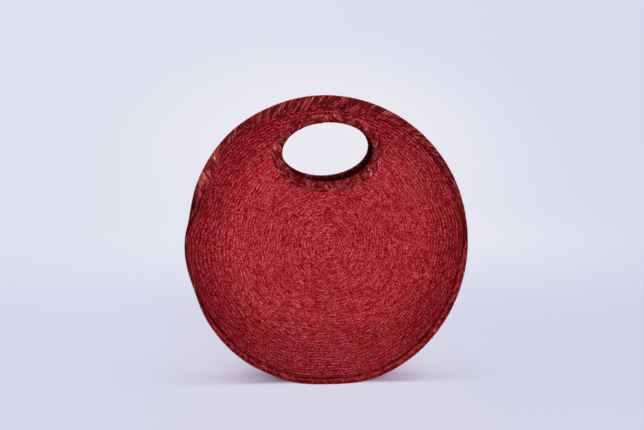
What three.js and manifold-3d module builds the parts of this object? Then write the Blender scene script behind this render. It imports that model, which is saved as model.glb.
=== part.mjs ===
// Round bag of sewn palm plait: two dished discs on a gusset, open along the top,
// with a bound hand hole in each disc.
// Millimetres, +Z up, the front faces -Y, the origin is on the floor between the discs.

import * as THREE from "three";
import { mergeVertices } from "three/addons/utils/BufferGeometryUtils.js";
import Module from "manifold-3d";

const wasm = await Module();
wasm.setup();

// Driving dimensions: the whole bag
const BAG_WIDTH = 352; // across, over the edge bindings
const BAG_HEIGHT = 359; // up a disc, from the floor to the top of the mouth
const STANDING_FLAT = 4; // depth the foot is pressed in from the round
const GUSSET_WIDTH = 64; // between the two disc rims, at the floor
const MOUTH_WIDTH = 26.4; // between the two disc rims, at the top
const DISH_DEPTH = 22; // rise of the middle of a disc over its rim
const DISH_POWER = 4; // how late the dish falls away towards the rim

// Driving dimensions: hand hole and fold
const HOLE_WIDTH = 110; // clear width inside the hole binding
const HOLE_HEIGHT = 71; // clear height inside the hole binding
const HOLE_DROP = 4; // bare rows between the mouth binding and the hole binding
const FOLD_RISE = 40; // fold line of the flap over the disc centre

// Driving dimensions: material and fits
const STRAW = 2.6; // thickness of the discs and of the gusset
const PLAIT = 1.8; // thickness of the binding plaits
const EDGE_LEG = 8; // width of the edge binding on each side
const SEAM_VALLEY = 1.2; // bare flat rim between the edge binding and the dish
const MOUTH_LEG = 16; // width of the mouth binding on each side
const HOLE_LEG = 12; // width of the hole binding on each side
const THREAD = 1; // thread diameter
const STITCH_MARGIN = 2.6; // stitch line in from the free edge of a binding
const FIT = 0.35; // clearance between pieces that are sewn together

// Fineness of the facets
const DISC_SEGMENTS = 60;
const HOLE_SEGMENTS = 32;
const DISH_STEPS = [0, 0.33, 0.5, 0.62, 0.71, 0.785, 0.85, 0.908, 0.958];
const THREAD_SIDES = 6;

// Derived sizes
const RADIUS = (BAG_HEIGHT + STANDING_FLAT) / 2;
const ACROSS = BAG_WIDTH / (2 * RADIUS); // squeeze that makes the round disc a little narrow
const CENTRE_RISE = RADIUS - STANDING_FLAT; // disc centre over the foot, along the disc
const DISC_RADIUS = RADIUS - PLAIT - FIT;
const DISH_RADIUS = RADIUS - EDGE_LEG - SEAM_VALLEY;
const RIM_WIDTH = DISC_RADIUS - DISH_RADIUS; // flat rim that the bindings grip
const LEAN = Math.asin((GUSSET_WIDTH - MOUTH_WIDTH) / 2 / BAG_HEIGHT); // of each disc, inwards
const HOLE_RISE = RADIUS - MOUTH_LEG - HOLE_DROP - HOLE_LEG - HOLE_HEIGHT / 2; // over disc centre
const SEAM_DEPTH = STRAW / 2 + FIT + STRAW; // back of the gusset flange, from the disc middle
const FOLD_HEIGHT = CENTRE_RISE + FOLD_RISE; // fold line over the foot, along the disc
const FOLD_CLEAR = FIT / 2; // each side of the fold line
const ARC_STEP = (2 * Math.PI) / DISC_SEGMENTS;
const FAR = 4 * BAG_HEIGHT; // size of the cutting blocks

// Colours
const PANEL_RED = { color: 0xa02c36, roughness: 0.72, metalness: 0 };
const BINDING_RED = { color: 0x7f2729, roughness: 0.62, metalness: 0 };
const THREAD_RED = { color: 0x9a4243, roughness: 0.8, metalness: 0 };

// Each half of the bag is drawn in its own disc frame: x across, z up the disc, -y outwards.
// The foot of the disc is sunk a little, so that the floor cuts the edge binding flat.
const FOOT_SINK = (STRAW / 2 + FIT + PLAIT) * Math.sin(LEAN);

function discFrame(side) {
  const frame = new THREE.Group();
  const stand = new THREE.Group();
  stand.position.set(0, -GUSSET_WIDTH / 2, -FOOT_SINK);
  stand.rotation.x = -LEAN;
  frame.rotation.z = side === "front" ? 0 : Math.PI;
  frame.add(stand);
  frame.updateMatrixWorld(true);
  return { frame, stand };
}

const halves = { front: discFrame("front"), back: discFrame("back") };

// Radius of a ring once its lowest stretch is pressed flat; the angle runs from straight down.
function pressedRadius(r, angle) {
  const limit = 1 - (STANDING_FLAT * r) / (RADIUS * RADIUS);
  const down = Math.cos(angle);
  return down > limit ? (r * limit) / down : r;
}

// Point of the disc frame at a ring radius, an angle from straight down and a depth.
function place(r, angle, y) {
  const reach = pressedRadius(r, angle);
  const x = ACROSS * reach * Math.sin(angle);
  return new THREE.Vector3(x, y, CENTRE_RISE - reach * Math.cos(angle));
}

// Depth of the middle of the disc wall at a ring radius.
function dish(r) {
  const share = Math.min(r / DISH_RADIUS, 1);
  return -DISH_DEPTH * (1 - Math.pow(share, DISH_POWER));
}

function outerFace(r) {
  return dish(r) - STRAW / 2;
}

function innerFace(r) {
  return dish(r) + STRAW / 2;
}

// Skin over a row of rings that have the same number of points, with or without end caps.
function loft(rings, closed) {
  const count = rings[0].length;
  const spots = [];
  const faces = [];
  for (const ring of rings) {
    for (const spot of ring) {
      spots.push(spot.x, spot.y, spot.z);
    }
  }
  const spans = closed ? rings.length : rings.length - 1;
  for (let i = 0; i < spans; i += 1) {
    const here = i * count;
    const next = ((i + 1) % rings.length) * count;
    for (let j = 0; j < count; j += 1) {
      const k = (j + 1) % count;
      faces.push(here + j, next + j, next + k);
      faces.push(here + j, next + k, here + k);
    }
  }
  if (!closed) {
    const last = (rings.length - 1) * count;
    for (const [a, b, c] of capFaces(rings[0])) {
      faces.push(a, b, c);
      faces.push(last + c, last + b, last + a);
    }
  }
  const geometry = new THREE.BufferGeometry();
  geometry.setAttribute("position", new THREE.Float32BufferAttribute(spots, 3));
  geometry.setIndex(faces);
  return outward(geometry);
}

// Triangles that fill one nearly flat ring, wound like the ring itself.
function capFaces(ring) {
  const normal = new THREE.Vector3();
  for (let i = 0; i < ring.length; i += 1) {
    const a = ring[i];
    const b = ring[(i + 1) % ring.length];
    normal.add(new THREE.Vector3().crossVectors(a, b));
  }
  normal.normalize();
  const across = new THREE.Vector3().subVectors(ring[1], ring[0]).normalize();
  const up = new THREE.Vector3().crossVectors(normal, across);
  const flat = ring.map((p) => new THREE.Vector2(p.dot(across), p.dot(up)));
  return THREE.ShapeUtils.triangulateShape(flat, []);
}

// Turns a closed skin the right way out.
function outward(geometry) {
  const spots = geometry.getAttribute("position");
  const index = geometry.getIndex();
  const a = new THREE.Vector3();
  const b = new THREE.Vector3();
  const c = new THREE.Vector3();
  let volume = 0;
  for (let i = 0; i < index.count; i += 3) {
    a.fromBufferAttribute(spots, index.getX(i));
    b.fromBufferAttribute(spots, index.getX(i + 1));
    c.fromBufferAttribute(spots, index.getX(i + 2));
    volume += a.dot(b.cross(c));
  }
  if (volume < 0) {
    for (let i = 0; i < index.count; i += 3) {
      const first = index.getX(i);
      index.setX(i, index.getX(i + 2));
      index.setX(i + 2, first);
    }
  }
  geometry.computeVertexNormals();
  return geometry;
}

// Three.js geometry to a solid and back, for cutting.
function solidOf(geometry) {
  const bare = geometry.clone();
  bare.deleteAttribute("normal");
  bare.deleteAttribute("uv");
  const welded = mergeVertices(bare, 1e-4);
  const vertProperties = new Float32Array(welded.getAttribute("position").array);
  const triVerts = new Uint32Array(welded.getIndex().array);
  return new wasm.Manifold(new wasm.Mesh({ numProp: 3, vertProperties, triVerts }));
}

function geometryOf(solid) {
  const mesh = solid.getMesh();
  const geometry = new THREE.BufferGeometry();
  geometry.setAttribute("position", new THREE.Float32BufferAttribute(mesh.vertProperties, 3));
  geometry.setIndex(new THREE.Uint32BufferAttribute(mesh.triVerts, 1));
  geometry.computeVertexNormals();
  return geometry;
}

// Block that fills the disc frame below a height, or above it.
function blockBelow(z) {
  return solidOf(new THREE.BoxGeometry(FAR, FAR, FAR).translate(0, 0, z - FAR / 2));
}

function blockAbove(z) {
  return solidOf(new THREE.BoxGeometry(FAR, FAR, FAR).translate(0, 0, z + FAR / 2));
}

// Everything under the floor, seen from the disc frame.
function underFloor() {
  const box = new THREE.BoxGeometry(FAR, FAR, FAR).translate(0, 0, -FAR / 2);
  const toDisc = halves.front.stand.matrixWorld.clone().invert();
  return solidOf(box.applyMatrix4(toDisc));
}

// Angles from one end of an arc to the other, keeping to the facets of the discs in between.
function arcAngles(from, to) {
  const angles = [from];
  for (let n = Math.ceil(from / ARC_STEP + 0.2); n * ARC_STEP < to - 0.2 * ARC_STEP; n += 1) {
    angles.push(n * ARC_STEP);
  }
  angles.push(to);
  return angles;
}

// Angle from straight down at which a ring of radius r is at a height over the disc centre.
function angleAtRise(r, rise) {
  return Math.PI / 2 + Math.asin(rise / r);
}

// The whole dished disc, before the hole and the fold are cut.
function dishedDisc() {
  const steps = [...DISH_STEPS.map((share) => share * DISH_RADIUS), DISH_RADIUS, DISC_RADIUS];
  const front = steps.map((r) => new THREE.Vector2(r, outerFace(r)));
  const rear = steps.map((r) => new THREE.Vector2(r, innerFace(r))).reverse();
  const disc = mergeVertices(bareLathe([...front, ...rear]), 1e-4);
  const spots = disc.getAttribute("position");
  for (let i = 0; i < spots.count; i += 1) {
    const r = Math.hypot(spots.getX(i), spots.getZ(i));
    const spot = place(r, Math.atan2(spots.getX(i), spots.getZ(i)), spots.getY(i));
    spots.setXYZ(i, spot.x, spot.y, spot.z);
  }
  return outward(disc);
}

function bareLathe(profile) {
  const lathe = new THREE.LatheGeometry(profile, DISC_SEGMENTS);
  lathe.deleteAttribute("normal");
  lathe.deleteAttribute("uv");
  return lathe;
}

// Hand hole: the cut edge of the disc, and points a step away from it.
const CUT_ACROSS = HOLE_WIDTH / 2 + PLAIT + FIT;
const CUT_UP = HOLE_HEIGHT / 2 + PLAIT + FIT;

function holePoint(turn, away) {
  const nx = Math.cos(turn) / CUT_ACROSS;
  const nz = Math.sin(turn) / CUT_UP;
  const size = Math.hypot(nx, nz);
  const x = CUT_ACROSS * Math.cos(turn) + (away * nx) / size;
  const rise = HOLE_RISE + CUT_UP * Math.sin(turn) + (away * nz) / size;
  return { x, rise, r: Math.hypot(x / ACROSS, rise) };
}

function holeTurns() {
  return Array.from({ length: HOLE_SEGMENTS }, (_, n) => (2 * Math.PI * n) / HOLE_SEGMENTS);
}

function holeBlock() {
  const ringAt = (y) =>
    holeTurns().map((turn) => {
      const spot = holePoint(turn, 0);
      return new THREE.Vector3(spot.x, y, CENTRE_RISE + spot.rise);
    });
  return solidOf(loft([ringAt(-FAR), ringAt(FAR)], false));
}

// The disc in its two pieces: the body below the fold and the flap above it.
function discPieces() {
  const whole = solidOf(dishedDisc()).subtract(holeBlock());
  return {
    body: geometryOf(whole.subtract(blockAbove(FOLD_HEIGHT - FOLD_CLEAR))),
    flap: geometryOf(whole.subtract(blockBelow(FOLD_HEIGHT + FOLD_CLEAR))),
  };
}

// Section of a plait folded over an edge, as pairs of step in from the edge and depth.
// The crown is outside the edge, and the two legs lie on the front and rear faces.
function foldedSection(leg, bend, front, rear) {
  const crown = -FIT - PLAIT;
  const tip = crown + leg;
  return [
    [tip, front(tip) - FIT - PLAIT],
    [bend, front(bend) - FIT - PLAIT],
    [crown, front(crown) - FIT - PLAIT],
    [crown, rear(crown) + FIT + PLAIT],
    [bend, rear(bend) + FIT + PLAIT],
    [tip, rear(tip) + FIT + PLAIT],
    [tip, rear(tip) + FIT],
    [bend, rear(bend) + FIT],
    [-FIT, rear(-FIT) + FIT],
    [-FIT, front(-FIT) - FIT],
    [bend, front(bend) - FIT],
    [tip, front(tip) - FIT],
  ];
}

// Section of a thread that lies on the front leg of such a plait.
function threadSection(leg, front) {
  const step = -FIT - PLAIT + leg - STITCH_MARGIN;
  const depth = front(step) - FIT - PLAIT - FIT - THREAD / 2;
  const section = [];
  for (let n = 0; n < THREAD_SIDES; n += 1) {
    const turn = (2 * Math.PI * n) / THREAD_SIDES;
    section.push([step + (THREAD / 2) * Math.cos(turn), depth + (THREAD / 2) * Math.sin(turn)]);
  }
  return section;
}

// Sweeps a section of rim steps and depths round the rim.
function alongRim(section, angles) {
  const rings = angles.map((angle) => section.map(([step, y]) => place(DISC_RADIUS - step, angle, y)));
  return loft(rings, false);
}

// Lower rim: from the fold line on one side, under the bag, to the fold line on the other.
// The bindings are swept a little past the fold and trimmed along it.
function lowerArc(r, rise) {
  const end = angleAtRise(r, rise);
  return arcAngles(-end, end);
}

function edgeFront() {
  return -STRAW / 2;
}

function edgeBinding() {
  const section = foldedSection(EDGE_LEG, EDGE_LEG / 3, edgeFront, () => SEAM_DEPTH);
  const long = alongRim(section, lowerArc(RADIUS - EDGE_LEG, FOLD_RISE + STRAW));
  const trimmed = solidOf(long).subtract(blockAbove(FOLD_HEIGHT - FOLD_CLEAR));
  return geometryOf(trimmed.subtract(underFloor()));
}

function seamThread() {
  return alongRim(threadSection(EDGE_LEG, edgeFront), lowerArc(RADIUS, FOLD_RISE - STRAW));
}

// Mouth: from the fold line on one side, over the top, to the fold line on the other.
function mouthArc(r, rise) {
  const end = angleAtRise(r, rise);
  return arcAngles(end, 2 * Math.PI - end);
}

function mouthFront(step) {
  return outerFace(DISC_RADIUS - step);
}

function mouthRear(step) {
  return innerFace(DISC_RADIUS - step);
}

function mouthBinding() {
  const section = foldedSection(MOUTH_LEG, RIM_WIDTH, mouthFront, mouthRear);
  const long = alongRim(section, mouthArc(RADIUS, FOLD_RISE - STRAW));
  return geometryOf(solidOf(long).subtract(blockBelow(FOLD_HEIGHT + FOLD_CLEAR)));
}

function mouthThread() {
  const arc = mouthArc(RADIUS - MOUTH_LEG, FOLD_RISE + STRAW);
  return alongRim(threadSection(MOUTH_LEG, mouthFront), arc);
}

// Hole binding and its thread: the section is worked out afresh at each turn of the oval.
function roundHole(sectionAt) {
  const rings = holeTurns().map((turn) => {
    const spotAt = (away) => holePoint(turn, away);
    return sectionAt(spotAt).map(([away, y]) => {
      const spot = spotAt(away);
      return new THREE.Vector3(spot.x, y, CENTRE_RISE + spot.rise);
    });
  });
  return loft(rings, true);
}

function holeBinding() {
  const bend = (HOLE_LEG - PLAIT) / 2;
  return roundHole((spotAt) =>
    foldedSection(
      HOLE_LEG,
      bend,
      (away) => outerFace(spotAt(away).r),
      (away) => innerFace(spotAt(away).r),
    ),
  );
}

function holeThread() {
  return roundHole((spotAt) => threadSection(HOLE_LEG, (away) => outerFace(spotAt(away).r)));
}

// Gusset: a channel whose flanges lie behind the two disc rims, drawn in the bag's own frame.
function gusset() {
  const flange = STRAW / 2 + FIT;
  const section = [
    [DISH_RADIUS - STRAW, flange],
    [DISC_RADIUS, flange],
    [DISC_RADIUS, SEAM_DEPTH],
    [DISH_RADIUS, SEAM_DEPTH],
  ];
  const corners = (half, angle) =>
    section.map(([r, y]) => place(r, angle, y).applyMatrix4(halves[half].stand.matrixWorld));
  const rings = lowerArc(DISC_RADIUS, FOLD_RISE - STRAW).map((angle) => [
    ...corners("front", angle),
    ...corners("back", -angle).reverse(),
  ]);
  return loft(rings, false);
}

// Assembly
const bag = new THREE.Group();
bag.name = "round_straw_bag";

function addPiece(parent, name, geometry, finish) {
  const mesh = new THREE.Mesh(geometry, new THREE.MeshStandardMaterial(finish));
  mesh.name = name;
  parent.add(mesh);
}

const disc = discPieces();
const pieces = [
  ["panel_body", disc.body, PANEL_RED],
  ["panel_flap", disc.flap, PANEL_RED],
  ["edge_binding", edgeBinding(), BINDING_RED],
  ["mouth_binding", mouthBinding(), BINDING_RED],
  ["hole_binding", holeBinding(), BINDING_RED],
  ["seam_thread", seamThread(), THREAD_RED],
  ["mouth_thread", mouthThread(), THREAD_RED],
  ["hole_thread", holeThread(), THREAD_RED],
];

for (const [side, half] of Object.entries(halves)) {
  for (const [name, geometry, finish] of pieces) {
    addPiece(half.stand, `${side}_${name}`, geometry, finish);
  }
  bag.add(half.frame);
}
addPiece(bag, "gusset", gusset(), PANEL_RED);

export default bag;
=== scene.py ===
"""Round bag of sewn palm plait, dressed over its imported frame.

Two dished coils stand on a gusset, open along the top, and every edge is bound with folded plait.
Metres, +Z up, the front faces -Y.
"""

import logging
import math
from collections.abc import Callable, Iterable, Mapping
from dataclasses import dataclass, field, replace
from enum import Enum

import bpy
import numpy as np
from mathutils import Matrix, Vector


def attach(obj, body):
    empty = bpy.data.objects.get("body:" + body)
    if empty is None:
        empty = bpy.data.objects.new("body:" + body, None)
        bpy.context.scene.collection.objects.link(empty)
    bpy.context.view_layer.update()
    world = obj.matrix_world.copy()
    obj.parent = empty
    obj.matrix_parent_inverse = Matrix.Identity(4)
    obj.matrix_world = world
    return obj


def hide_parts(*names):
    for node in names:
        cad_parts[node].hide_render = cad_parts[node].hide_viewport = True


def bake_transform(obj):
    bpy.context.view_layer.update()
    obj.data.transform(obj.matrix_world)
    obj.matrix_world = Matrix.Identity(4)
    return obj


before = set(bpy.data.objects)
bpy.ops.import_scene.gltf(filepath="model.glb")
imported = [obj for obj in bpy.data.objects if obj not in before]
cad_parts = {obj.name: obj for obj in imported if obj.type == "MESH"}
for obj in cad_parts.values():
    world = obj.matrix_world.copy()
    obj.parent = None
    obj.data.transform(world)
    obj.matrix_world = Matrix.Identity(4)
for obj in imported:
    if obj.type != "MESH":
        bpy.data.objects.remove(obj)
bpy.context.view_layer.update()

log = logging.getLogger("straw_bag")

SHELL = "shell"

COIL_SEED = 11
BINDING_SEED = 23
GUSSET_SEED = 97
SEEDS_PER_HALF = 40

# Small steps from which slopes are taken: into a disc, along an edge, and round a disc in radians
INWARD_STEP = 2e-4
EDGE_STEP = 5e-4
TURN_STEP = 2e-3

Array = np.ndarray
Chance = np.random.Generator
Colour = tuple[float, float, float, float]
Fed = dict[str | int, object]
Mark = tuple[float, float, float]
Material = bpy.types.Material
Node = bpy.types.Node
Pair = tuple[float, float]
Piece = bpy.types.Object
Socket = bpy.types.NodeSocket
Sockets = Mapping[str, Socket]
Spot = tuple[float, float, float]
Surface = Callable[[Array, Array], Array]
Tree = bpy.types.NodeTree
Wired = Socket | float


class Half(Enum):
    """The two discs of the bag."""

    FRONT = "front"
    BACK = "back"

    @property
    def flap(self) -> str:
        """Body of the free upper part of this disc."""
        return f"{self.value}_flap"

    @property
    def sign(self) -> float:
        """1 for the disc that is drawn as it stands, -1 for the one that is turned round."""
        return 1.0 if self is Half.FRONT else -1.0

    def node(self, piece: str) -> str:
        """Frame node of a piece of this half."""
        return f"{self.value}_{piece}"


class Slot(Enum):
    """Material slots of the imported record."""

    PANEL = "straw_panel"
    BINDING = "straw_binding"
    THREAD = "thread"


def linear(*levels: int) -> Colour:
    """Turns the red, green and blue of a colour as seen, 0 to 255, into linear light."""
    shares = [level / 255.0 for level in levels]
    return (*(s / 12.92 if s <= 0.04045 else ((s + 0.055) / 1.055) ** 2.4 for s in shares), 1.0)


def unit(vectors: Array) -> Array:
    """Rows scaled to length one."""
    return vectors / np.maximum(np.linalg.norm(vectors, axis=-1, keepdims=True), 1e-12)


def smooth(share: Array) -> Array:
    """Soft step from 0 to 1."""
    held = np.clip(share, 0.0, 1.0)
    return held * held * (3.0 - 2.0 * held)


def ease(value: Array, start: Array | float, end: float) -> Array:
    """Soft step from 0 at the start to 1 at the end."""
    return smooth((value - start) / (end - start))


def hill(away: Array) -> Array:
    """Soft hill of height 1 that has fallen to a third one unit away."""
    return np.exp(-(away**2))


def hump(angle: Array, top: float, spread: float) -> Array:
    """Soft hill round the rim, its top and its spread in degrees from straight down."""
    return hill(((np.degrees(angle) - top + 180.0) % 360.0 - 180.0) / spread)


def marks_at(marks: Iterable[Mark], angle: Array) -> Array:
    """Sum of hills round the rim, each with a size, a top and a spread."""
    return sum(size * hump(angle, top, spread) for size, top, spread in marks)


def run_lengths(points: Array) -> Array:
    """Length walked along a path at each of its points."""
    steps = np.linalg.norm(np.diff(points, axis=0), axis=1)
    return np.concatenate([[0.0], np.cumsum(steps)])


def wander(along: Array, wavelength: float, rng: Chance) -> Array:
    """Smooth random run along a path.

    Args:
        along: Length walked at each point.
        wavelength: Distance between two turns of the run.
        rng: Seeded source of chance.

    Returns:
        A value between -1 and 1 for each point.
    """
    places = (along - along[0]) / wavelength
    knots = rng.uniform(-1.0, 1.0, int(places[-1]) + 3)
    low = places.astype(int)
    share = smooth(places - low)
    return knots[low] * (1.0 - share) + knots[low + 1] * share


def uneven_dye(along: Array, runs: Iterable[Pair], rng: Chance) -> Array:
    """How pale the dye is along a path: half, and random runs with a size and a wavelength each."""
    return 0.5 + sum(size * wander(along, wavelength, rng) for size, wavelength in runs)


def facing_of(surface: Surface, first: Array, second: Array, steps: Pair) -> Array:
    """Unit normals of a surface, from small steps along its two running values.

    Args:
        surface: Gives points from the two running values.
        first: First running value of each point.
        second: Second running value of each point.
        steps: Small step of each running value.

    Returns:
        One normal for each point.
    """
    along_first = surface(first + steps[0], second) - surface(first - steps[0], second)
    along_second = surface(first, second + steps[1]) - surface(first, second - steps[1])
    return unit(np.cross(along_first, along_second))


@dataclass(frozen=True)
class Slack:
    """How far one disc has gone out of true in use.

    Each mark has a size, an angle from straight down in degrees and a spread. Dents push the rim in,
    bellies are shares of the full bulge over the seam, and painted_lights are painted light near the rim,
    paler where the bag is lit more.
    """

    dents: tuple[Mark, ...]
    bellies: tuple[Mark, ...]
    painted_lights: tuple[Mark, ...]
    sway_phase: float
    sway: float = 0.0007
    wide_waves: float = 3.0
    short_waves: float = 5.0
    short_share: float = 0.6
    short_phase: float = 2.3

    def sway_at(self, share: Array, angle: Array) -> Array:
        """Finds how deep the disc waves in and out.

        Args:
            share: Share of the dish at each point.
            angle: Angle from straight down of each point.

        Returns:
            The depth at each point.
        """
        wide = np.sin(self.wide_waves * angle + self.sway_phase) * share**2
        short = np.sin(self.short_waves * angle + self.short_phase * self.sway_phase) * share**3
        return self.sway * (wide + self.short_share * short)


SLACK = {
    Half.FRONT: Slack(
        dents=(
            (0.0058, -105.5, 8.0),
            (-0.0024, -140.0, 20.0),
            (0.0022, -72.0, 10.0),
            (0.0018, -23.0, 9.0),
        ),
        bellies=((1.0, -83.0, 23.0), (0.45, 96.0, 11.0)),
        painted_lights=((1.0, 0.0, 38.0), (1.0, 130.0, 24.0)),
        sway_phase=0.8,
    ),
    Half.BACK: Slack(
        dents=((0.0020, 101.0, 10.0),),
        bellies=((0.35, 84.0, 22.0),),
        painted_lights=((1.0, 0.0, 38.0),),
        sway_phase=2.9,
    ),
}

# Share of its width that the mouth plait keeps on the right, and share by which its left is drawn in
MOUTH_WEAR = {Half.FRONT: (0.56, 0.4), Half.BACK: (0.9, 0.1)}

# Section of a disc where it bulges over its seam: share of the dish, then radius and rise there
BELLY_SHARE = (0.0, 0.70, 0.80, 0.87, 0.92, 0.955, 0.98, 1.0, 1.02, 1.041, 1.06)
BELLY_REACH = (0.0, 0.1220, 0.1430, 0.1595, 0.1705, 0.1772, 0.1800, 0.1797, 0.1772, 0.1750, 0.1740)
BELLY_RISE = (0.0222, 0.0224, 0.0220, 0.0203, 0.0170, 0.0125, 0.0080, 0.0040, 0.0010, 0.0, 0.0)


@dataclass(frozen=True)
class BagForm:
    """Sizes of the bag and the shape of its two discs.

    A disc is drawn in its own frame: x across, z up the disc, -y outwards. Angles run from straight
    down towards +x.
    """

    width: float = 0.352
    height: float = 0.359
    standing_flat: float = 0.004
    gusset_width: float = 0.064
    mouth_width: float = 0.0264
    dish_depth: float = 0.022
    dish_power: float = 4.0
    dent_power: int = 6
    straw: float = 0.0026
    plait: float = 0.0018
    fit: float = 0.00035
    edge_leg: float = 0.008
    mouth_leg: float = 0.016
    hole_leg: float = 0.012
    seam_valley: float = 0.0012
    hole_width: float = 0.110
    hole_height: float = 0.071
    hole_drop: float = 0.0047
    hole_tilt: float = math.radians(3.2)
    fold_rise: float = 0.040
    press_sharpness: float = 60.0
    least_press: float = 1e-9
    least_down: float = 0.05

    @property
    def radius(self) -> float:
        """Outer radius over the bindings."""
        return (self.height + self.standing_flat) / 2

    @property
    def squeeze(self) -> float:
        """Width of a disc over its full round."""
        return self.width / (2 * self.radius)

    @property
    def centre(self) -> float:
        """Height of a disc's centre over its foot."""
        return self.radius - self.standing_flat

    @property
    def rim(self) -> float:
        """Radius of the straw under the bindings."""
        return self.radius - self.plait - self.fit

    @property
    def dish_rim(self) -> float:
        """Radius at which the dish meets the flat rim."""
        return self.radius - self.edge_leg - self.seam_valley

    @property
    def lean(self) -> float:
        """Angle by which each disc leans in towards the mouth."""
        return math.asin((self.gusset_width - self.mouth_width) / 2 / self.height)

    @property
    def sink(self) -> float:
        """Depth by which the foot is sunk to stand flat."""
        return (self.straw / 2 + self.fit + self.plait) * math.sin(self.lean)

    @property
    def hole_rise(self) -> float:
        """Middle of the hand hole over the disc centre."""
        return self.radius - self.mouth_leg - self.hole_drop - self.hole_leg - self.hole_height / 2

    @property
    def fold_angle(self) -> float:
        """Angle from straight down at which the fold line meets the rim."""
        return math.pi / 2 + math.asin(self.fold_rise / self.radius)

    def pressed(self, radius: Array, angle: Array) -> Array:
        """Ring radius once the foot is pressed flat, with soft corners.

        Args:
            radius: Ring radius before the foot is pressed.
            angle: Angle from straight down.

        Returns:
            The radius at each angle.
        """
        sharp = self.press_sharpness
        limit = 1.0 - self.standing_flat * radius / self.radius**2
        level = np.maximum(limit**-sharp - 1.0, self.least_press) ** (-1.0 / sharp)
        down = np.maximum(np.cos(angle), self.least_down)
        return radius * (1.0 + (level / down) ** -sharp) ** (-1.0 / sharp)

    def sheet(self, half: Half, radius: Array, angle: Array, depth: float = 0.0) -> Array:
        """Points in the middle of a disc's straw.

        Args:
            half: Which disc.
            radius: Ring radius of each point.
            angle: Angle from straight down of each point.
            depth: Distance behind the middle of the straw.

        Returns:
            Points in the frame of the bag.
        """
        slack = SLACK[half]
        share = radius / self.dish_rim
        held = np.minimum(share, 1.0)
        belly = marks_at(slack.bellies, angle)
        rise = self.dish_depth * (1.0 - held**self.dish_power)
        rise = rise + belly * (np.interp(share, BELLY_SHARE, BELLY_RISE) - rise)
        reach = radius + belly * (np.interp(share, BELLY_SHARE, BELLY_REACH) - radius)
        reach = reach - marks_at(slack.dents, angle) * held**self.dent_power
        reach = self.pressed(reach, angle)
        x = self.squeeze * reach * np.sin(angle)
        y = depth - rise + slack.sway_at(held, angle)
        z = self.centre - reach * np.cos(angle)
        turn, lift = math.cos(self.lean), math.sin(self.lean)
        out = y * turn + z * lift - self.gusset_width / 2
        return np.stack([half.sign * x, half.sign * out, z * turn - y * lift - self.sink], axis=-1)

    def facing(self, half: Half, radius: Array, angle: Array) -> Array:
        """Outward normals of a disc."""
        steps = (INWARD_STEP, TURN_STEP)
        return facing_of(lambda ring, turn: self.sheet(half, ring, turn), radius, angle, steps)

    def hole_axes(self) -> Pair:
        """Half width and half height of the cut under the hole binding."""
        cover = self.plait + self.fit
        return self.hole_width / 2 + cover, self.hole_height / 2 + cover

    def hole_turn(self, half: Half) -> Pair:
        """Cosine and sine of the tilt of a hand hole, so that the two holes lie behind each other."""
        return math.cos(self.hole_tilt), half.sign * math.sin(self.hole_tilt)

    def inside_hole(self, half: Half, radius: Array, angle: Array) -> Array:
        """Tells which points of a disc fall in the hand hole.

        Args:
            half: Which disc.
            radius: Ring radius of each point.
            angle: Angle from straight down of each point.

        Returns:
            True for each point in the hole.
        """
        x = self.squeeze * radius * np.sin(angle)
        z = -radius * np.cos(angle) - self.hole_rise
        turn, rise = self.hole_turn(half)
        across, up = self.hole_axes()
        return ((x * turn + z * rise) / across) ** 2 + ((z * turn - x * rise) / up) ** 2 < 1.0


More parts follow.
